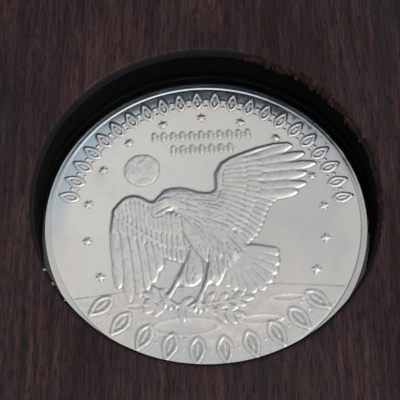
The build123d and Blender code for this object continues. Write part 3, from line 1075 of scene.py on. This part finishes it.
def strike_wreath(relief):
    """The other face: a laurel wreath round a star."""
    draw = random.Random(5)
    for side in (-1, 1):
        for i in range(17):
            angle = math.radians(-84 + 9.3 * i)
            centre = WREATH_OUT * np.array((side * math.cos(angle), math.sin(angle)))
            for spread, size in ((-26, 2.5), (26, 2.5), (0, 2.2)):
                heading = angle + math.pi / 2 - math.radians(spread)
                way = np.array((side * math.cos(heading), math.sin(heading)))
                tip = centre + way * size * draw.uniform(0.92, 1.05)
                top = 0.13 + 0.012 * (spread == 0)
                relief.feather(centre, tip, 0.44, 0.08, top, 0.05, shaft=-0.05, blunt=0.7)
            if i % 2:
                berry = BERRIES_OUT * np.array((side * math.cos(angle + 0.06), math.sin(angle + 0.06)))
                relief.bead(*berry, 0.28, 0.12)
        bends = np.linspace(-1.62, 1.15, 28)
        stem = [WREATH_OUT * np.array((side * math.cos(a), math.sin(a))) for a in bends]
        relief.limb(*[(*point, 0.16, 0.12) for point in stem])
    relief.star(0, 0, 5.2, 0.17)
    relief.limb((-0.9, -10.5, 0.3, 0.15), (0.9, -11.4, 0.3, 0.15))
    relief.limb((0.9, -10.5, 0.3, 0.15), (-0.9, -11.4, 0.3, 0.15))
    leaf_border(relief, 0, 354, 60, 15.2, 16.7, 0.08)


def soften(heights, sweeps):
    """Rounds the struck heights a little, as metal flows into a die."""
    grid = heights.reshape(FACE_STEPS + 1, FACE_STEPS + 1)
    for _ in range(sweeps):
        padded = np.pad(grid, 1, mode="edge")
        sides = padded[:-2, 1:-1] + padded[2:, 1:-1] + padded[1:-1, :-2] + padded[1:-1, 2:]
        grid = grid * 0.5 + sides * 0.125
    return grid.ravel()


def coin_half(name, material, strike, out, turn):
    """Half a coin, from its middle out to one face. out is 1 for the upper face and -1 for the lower."""
    bm = bmesh.new()
    bmesh.ops.create_grid(bm, x_segments=FACE_STEPS, y_segments=FACE_STEPS, size=1)
    square = np.array([v.co.xy for v in bm.verts])
    bent = math.sqrt(2) * np.sin(square * math.pi / 4)
    x = FIELD_R * bent[:, 0] * np.sqrt(1 - bent[:, 1] ** 2 / 2)
    y = FIELD_R * bent[:, 1] * np.sqrt(1 - bent[:, 0] ** 2 / 2)

    relief = Relief(x, y)
    strike(relief)
    struck = np.clip(soften(relief.z, 1), LOWEST_STRIKE, FIELD_DEPTH - STRIKE_BELOW_RIM)
    struck *= np.clip((FIELD_R - np.hypot(x, y)) / FIELD_FADE, 0, 1)
    # painted shade: how dark each hollow at the foot of the relief is painted
    crease = np.clip((soften(struck, CREASE_SWEEPS) - struck) / CREASE_DEPTH, 0, 1)
    dish = DISH_RATE * np.clip(np.hypot(x, y) - DISH_FROM, 0, None) ** 2
    edge_rise = DISH_RATE * (FIELD_R - DISH_FROM) ** 2

    field_z = COIN_HALF_T - FIELD_DEPTH
    for vert, vx, vy, vz in zip(bm.verts, x, y, struck + dish):
        vert.co = (vx, vy, field_z + vz)

    def at(radius, z, reed_depth):
        reeds = 4 * FACE_STEPS / VERTS_PER_REED

        def place(angle, _):
            return around(angle, radius - reed_depth * (0.5 - 0.5 * math.cos(reeds * angle)), z)

        return place

    rim_z = COIN_HALF_T - WIRE_H
    rim_in = FIELD_R + RIM_SLOPE
    profile = (
        (FIELD_R + RIM_SLOPE * 0.35, field_z + edge_rise + 0.01, 0),
        (FIELD_R + RIM_SLOPE * 0.9, rim_z - 0.02, 0),
        (rim_in + 0.06, rim_z, 0),
        (WIRE_R - 0.03, rim_z, 0),
        (WIRE_R, rim_z + 0.003, 0),
        (WIRE_R + WIRE_W, COIN_HALF_T - 0.004, 0),
        (WIRE_R + WIRE_W + 0.08, COIN_HALF_T, 0),
        (WIRE_R + WIRE_W + 0.2, COIN_HALF_T - 0.03, 0),
        (COIN_R - EDGE_ROUND * 0.35, COIN_HALF_T - EDGE_ROUND * 0.5, 0),
        (COIN_R, COIN_HALF_T - EDGE_ROUND, REED_DEPTH),
        (COIN_R, 0, REED_DEPTH),
    )
    ring = [e for e in bm.edges if e.is_boundary]
    face_verts = len(bm.verts)
    for radius, z, reed_depth in profile:
        ring = grow_ring(bm, ring, at(radius, z, reed_depth))
    bmesh.ops.holes_fill(bm, edges=ring)
    bm.verts.ensure_lookup_table()
    plain = np.zeros(len(bm.verts) - face_verts)
    reach = np.array([v.co.xy.length for v in bm.verts[face_verts:]])
    # painted shade on the rim and its wire lip, kept in the same attribute as the painted shade of the
    # hollows
    rim_shade = np.where((reach > WIRE_R - 0.01) & (reach < COIN_R - 0.1), WIRE_SHADE, RIM_SHADE)
    scuffed = np.clip((reach - FIELD_R) / RIM_SLOPE, 0, 1) * (reach < WIRE_R + 0.05)
    attributes = {
        "relief": np.concatenate((struck, plain)),
        "crease": np.concatenate((crease, rim_shade)),
        "rim": np.concatenate((0 * struck, scuffed)),
    }

    if out < 0:
        bmesh.ops.rotate(bm, cent=(0, 0, 0), matrix=Matrix.Rotation(math.pi, 3, "X"), verts=bm.verts)
    bmesh.ops.rotate(bm, cent=(0, 0, 0), matrix=Matrix.Rotation(turn, 3, "Z"), verts=bm.verts)
    bmesh.ops.translate(bm, vec=(0, 0, COIN_MID_Z), verts=bm.verts)
    bmesh.ops.recalc_face_normals(bm, faces=bm.faces)
    return stand(bm, name, "coin", "coin", material, 60, attributes)


# ==== capsule and ring =============================================================================
def shell_outline(z_rim, z_inner, z_skirt, skirt_in, z_mark):
    """Half section of a shell: lens with its raised rim, and a skirt outside skirt_in down to z_skirt."""
    out = 1 if z_rim > z_inner else -1
    hollow_z = z_rim - out * STACK_RIM_H
    skirt_out = skirt_in + SKIRT_T
    outline = [
        (0, hollow_z),
        (CAPSULE_R - STACK_RIM_W - 0.15, hollow_z),
        (CAPSULE_R - STACK_RIM_W, hollow_z + out * 0.15),
        (CAPSULE_R - STACK_RIM_W, z_rim),
        (CAPSULE_R, z_rim),
    ]
    if skirt_out < CAPSULE_R - 0.01:
        outline += [(CAPSULE_R, z_inner), (skirt_out, z_inner)]
    outline += [
        (skirt_out, z_mark),
        (skirt_out, z_skirt),
        (skirt_in, z_skirt),
        (skirt_in, z_mark),
        (skirt_in, z_inner),
        (0, z_inner),
    ]
    return outline


def capsule_pieces(material):
    """Both clear shells. The lid's skirt has a notch to pry it by."""
    base_inner_z = RING_LOW.z
    half_way = (base_inner_z + BASE_HIGH.z) / 2
    outline = shell_outline(BASE_LOW.z, base_inner_z, BASE_HIGH.z, RING_HIGH.x + 0.1, half_way)
    bm = turned(outline, TURNED_STEPS, 0.1)
    stand(bm, "clear_base", "capsule_rear", "capsule_base", material)

    notch_z = LID_LOW.z + PRY_NOTCH_H
    outline = shell_outline(LID_HIGH.z, BASE_HIGH.z, LID_LOW.z, CAPSULE_R - SKIRT_T, notch_z)
    bm = turned(outline, TURNED_STEPS, 0)
    notch = []
    for face in bm.faces:
        middle = face.calc_center_median()
        if abs(middle.x) < PRY_NOTCH_W / 2 and middle.y < 0 and middle.z < notch_z - 0.01:
            notch.append(face)
    bmesh.ops.delete(bm, geom=notch, context="FACES")
    bmesh.ops.holes_fill(bm, edges=[e for e in bm.edges if e.is_boundary])
    close_up(bm)
    ease_edges(bm, 0.08)
    stand(bm, "clear_lid", "capsule_front", "capsule_lid", material)


def ring_piece(material):
    """The black ring that the coin sits in."""
    low, high = RING_LOW.z, RING_HIGH.z
    outer = RING_HIGH.x
    inner = outer - RING_WALL
    outline = [(inner, low), (outer, low), (outer, high), (inner, high)]
    stand(turned(outline, FINE_STEPS, 0.12), "black_ring", "ring", "coin_ring", material)


def liner_piece(half, low, high, material):
    """Window liner with an eased edge, from the lowest and highest corner of its box."""
    outline = [(WINDOW_R, low.z), (high.x, low.z), (high.x, high.z), (WINDOW_R, high.z)]
    bm = turned(outline, FINE_STEPS, 0.05)
    stand(bm, f"{half}_liner", f"{half}_half", f"{half}_window_liner", material)


def four_alike(outline, ease, box_high, radius):
    """The same turned form at four corners, which touch the highest corner of the box round them."""
    bm = bmesh.new()
    for x in (-1, 1):
        for y in (-1, 1):
            centre = (x * (box_high.x - radius), y * (box_high.y - radius))
            one = turned(outline, PIN_STEPS, ease, centre)
            mesh = bpy.data.meshes.new("one_of_four")
            one.to_mesh(mesh)
            one.free()
            bm.from_mesh(mesh)
            bpy.data.meshes.remove(mesh)
    return bm


def pin_pieces(material):
    """Four dowels with a chamfer at both ends."""
    low, high = PINS_LOW.z, PINS_HIGH.z
    shank = PIN_R - PIN_TIP
    edge = [(shank, low), (PIN_R, low + PIN_TIP), (PIN_R, high - PIN_TIP), (shank, high)]
    outline = [(0, low), *edge, (0, high)]
    bm = four_alike(outline, 0.06, PINS_HIGH, PIN_R)
    stand(bm, "steel_pins", "rear_half", "locating_pins", material)


def bush_pieces(material):
    """Four sleeves with a lead-in at the mouth."""
    low, high = BUSHES_LOW.z, BUSHES_HIGH.z
    bore, outer = BUSH_BORE_R, BUSH_BORE_R + BUSH_WALL
    mouth = BUSH_LEAD_IN
    outline = [(bore + mouth, low), (outer, low), (outer, high), (bore, high), (bore, low + mouth)]
    bm = four_alike(outline, 0.05, BUSHES_HIGH, outer)
    stand(bm, "brass_bushes", "front_half", "pin_bushes", material)


# ==== floor, light and camera ======================================================================
FLOOR_Z = -0.0001
LENS = 103.5
LOOKS_FROM = (63.19, 0.20, -0.36)  # elevation, azimuth and roll in degrees
AIM = (-0.69, -0.36, HOLDER_TOP - 0.18)
DISTANCE = 126.9
BRIGHT_SIDE = (0.35, -0.35, 0.87)
SKY = (  # colour of the surroundings, from the far side round to the bright side
    (0.0, (0.10, 0.12, 0.15)),
    (0.30, (0.19, 0.22, 0.26)),
    (0.40, (0.34, 0.37, 0.40)),
    (0.48, (0.51, 0.53, 0.55)),
    (0.54, (0.61, 0.62, 0.63)),
    (0.61, (0.625, 0.63, 0.63)),
    (0.665, (0.56, 0.565, 0.57)),
    (0.70, (0.63, 0.625, 0.62)),
    (0.75, (0.76, 0.75, 0.74)),
    (0.82, (0.86, 0.84, 0.81)),
    (1.0, (0.92, 0.90, 0.86)),
)


def floor_piece():
    """A wide plain floor just under the holder."""
    bm = bmesh.new()
    bmesh.ops.create_grid(bm, x_segments=8, y_segments=8, size=3)
    mesh = bpy.data.meshes.new("floor")
    bm.to_mesh(mesh)
    bm.free()
    mesh.materials.append(pale_floor("pale_floor"))
    floor = bpy.data.objects.new("floor", mesh)
    floor.location.z = FLOOR_Z
    bpy.context.scene.collection.objects.link(floor)


def soft_light(name, place, size, power, colour):
    """A large square lamp that faces the holder."""
    lamp = bpy.data.lights.new(name, "AREA")
    lamp.shape = "RECTANGLE"
    lamp.size, lamp.size_y = size
    lamp.energy = power
    lamp.color = colour
    thing = bpy.data.objects.new(name, lamp)
    thing.location = place
    thing.rotation_euler = (-Vector(place)).to_track_quat("-Z", "Y").to_euler()
    bpy.context.scene.collection.objects.link(thing)


def studio():
    """Pale surroundings, brightest overhead and dimmer low down behind, with one soft lamp."""
    world = bpy.data.worlds.new("studio")
    bpy.context.scene.world = world
    world.use_nodes = True
    nodes, links = world.node_tree.nodes, world.node_tree.links
    direction = nodes.new("ShaderNodeTexCoord")
    toward = nodes.new("ShaderNodeVectorMath")
    toward.operation = "DOT_PRODUCT"
    toward.inputs[1].default_value = Vector(BRIGHT_SIDE).normalized()
    links.new(direction.outputs["Generated"], toward.inputs[0])
    ramp = nodes.new("ShaderNodeValToRGB")
    links.new(toward.outputs["Value"], ramp.inputs[0])
    set_stops(ramp.color_ramp, SKY)
    links.new(ramp.outputs[0], nodes["Background"].inputs[0])
    soft_light("overhead", (0.22, -0.30, 0.75), (1.0, 0.8), 2.2, (1.0, 0.97, 0.93))


def set_camera():
    """Looks down on the window from the foot side, a little turned, as close as a hand-held shot."""
    camera = bpy.data.cameras.new("camera")
    camera.sensor_width = 36
    camera.lens = LENS
    camera.clip_start = 0.005
    eye = bpy.data.objects.new("camera", camera)
    elevation, azimuth, roll = (math.radians(a) for a in LOOKS_FROM)
    back = Vector((
        math.sin(azimuth) * math.cos(elevation),
        -math.cos(azimuth) * math.cos(elevation),
        math.sin(elevation),
    ))
    aim = Vector(AIM) * MM
    distance = DISTANCE * MM
    turn = back.to_track_quat("Z", "Y").to_matrix() @ Matrix.Rotation(roll, 3, "Z")
    eye.matrix_world = Matrix.Translation(aim + back * distance) @ turn.to_4x4()
    bpy.context.scene.collection.objects.link(eye)
    bpy.context.scene.camera = eye


# ==== the holder ===================================================================================
def paint(node, material):
    """Gives a CAD node that stays a better material."""
    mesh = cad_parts[node].data
    mesh.materials.clear()
    mesh.materials.append(material)


def make_holder():
    """All the materials, then all the pieces."""
    film = wood_grain("wood_film", torn=True)
    strip_y = wood_grain("wood_strip_long", "Y")
    strip_x = wood_grain("wood_strip_short", "X")
    liner = moulded_black("liner_black", tone=0.0022, rough=0.8, sheen=0.06)
    core = moulded_black("core_black", tone=0.012, rough=0.42)
    ring = moulded_black("ring_black", tone=0.002, grain_mm=0.4, sheen=0.1)
    board = fibreboard("dyed_fibreboard")
    clear = clear_acrylic("clear_acrylic")
    silver = struck_silver("struck_silver")
    steel = drawn_metal("pin_steel", (0.62, 0.62, 0.63), 0.22, 0.15)
    brass = drawn_metal("bush_brass", (0.80, 0.60, 0.28), 0.25, 0.12)

    edge = WindowEdge(3, -28, 84)
    high, low = FACING_HIGH.z, FACING_LOW.z
    facing("front_sheet", "front_facing", "front_half", film, edge, high, low, CHIPS)
    fibres("front_splinters", "front_half", film, edge, high, low, count=70, seed=21)
    edge = WindowEdge(8, 150, 175)
    high, low = REAR_FACING_LOW.z, REAR_FACING_HIGH.z
    facing("rear_sheet", "rear_facing", "rear_half", film, edge, high, low, ())

    liner_piece("front", LINER_LOW, LINER_HIGH, liner)
    liner_piece("rear", REAR_LINER_LOW, REAR_LINER_HIGH, liner)
    for half in ("front", "rear"):
        paint(f"{half}_board", board)
        paint(f"{half}_core", core)
        for side in ("left", "right"):
            paint(f"{half}_edge_{side}", strip_y)
        for side in ("foot", "head"):
            paint(f"{half}_edge_{side}", strip_x)

    capsule_pieces(clear)
    ring_piece(ring)
    coin_half("coin_upper", silver, strike_eagle, 1, COIN_TURN)
    coin_half("coin_lower", silver, strike_wreath, -1, -COIN_TURN)
    pin_pieces(steel)
    bush_pieces(brass)


make_holder()
floor_piece()
studio()
set_camera()
bpy.context.scene.view_settings.view_transform = "Standard"
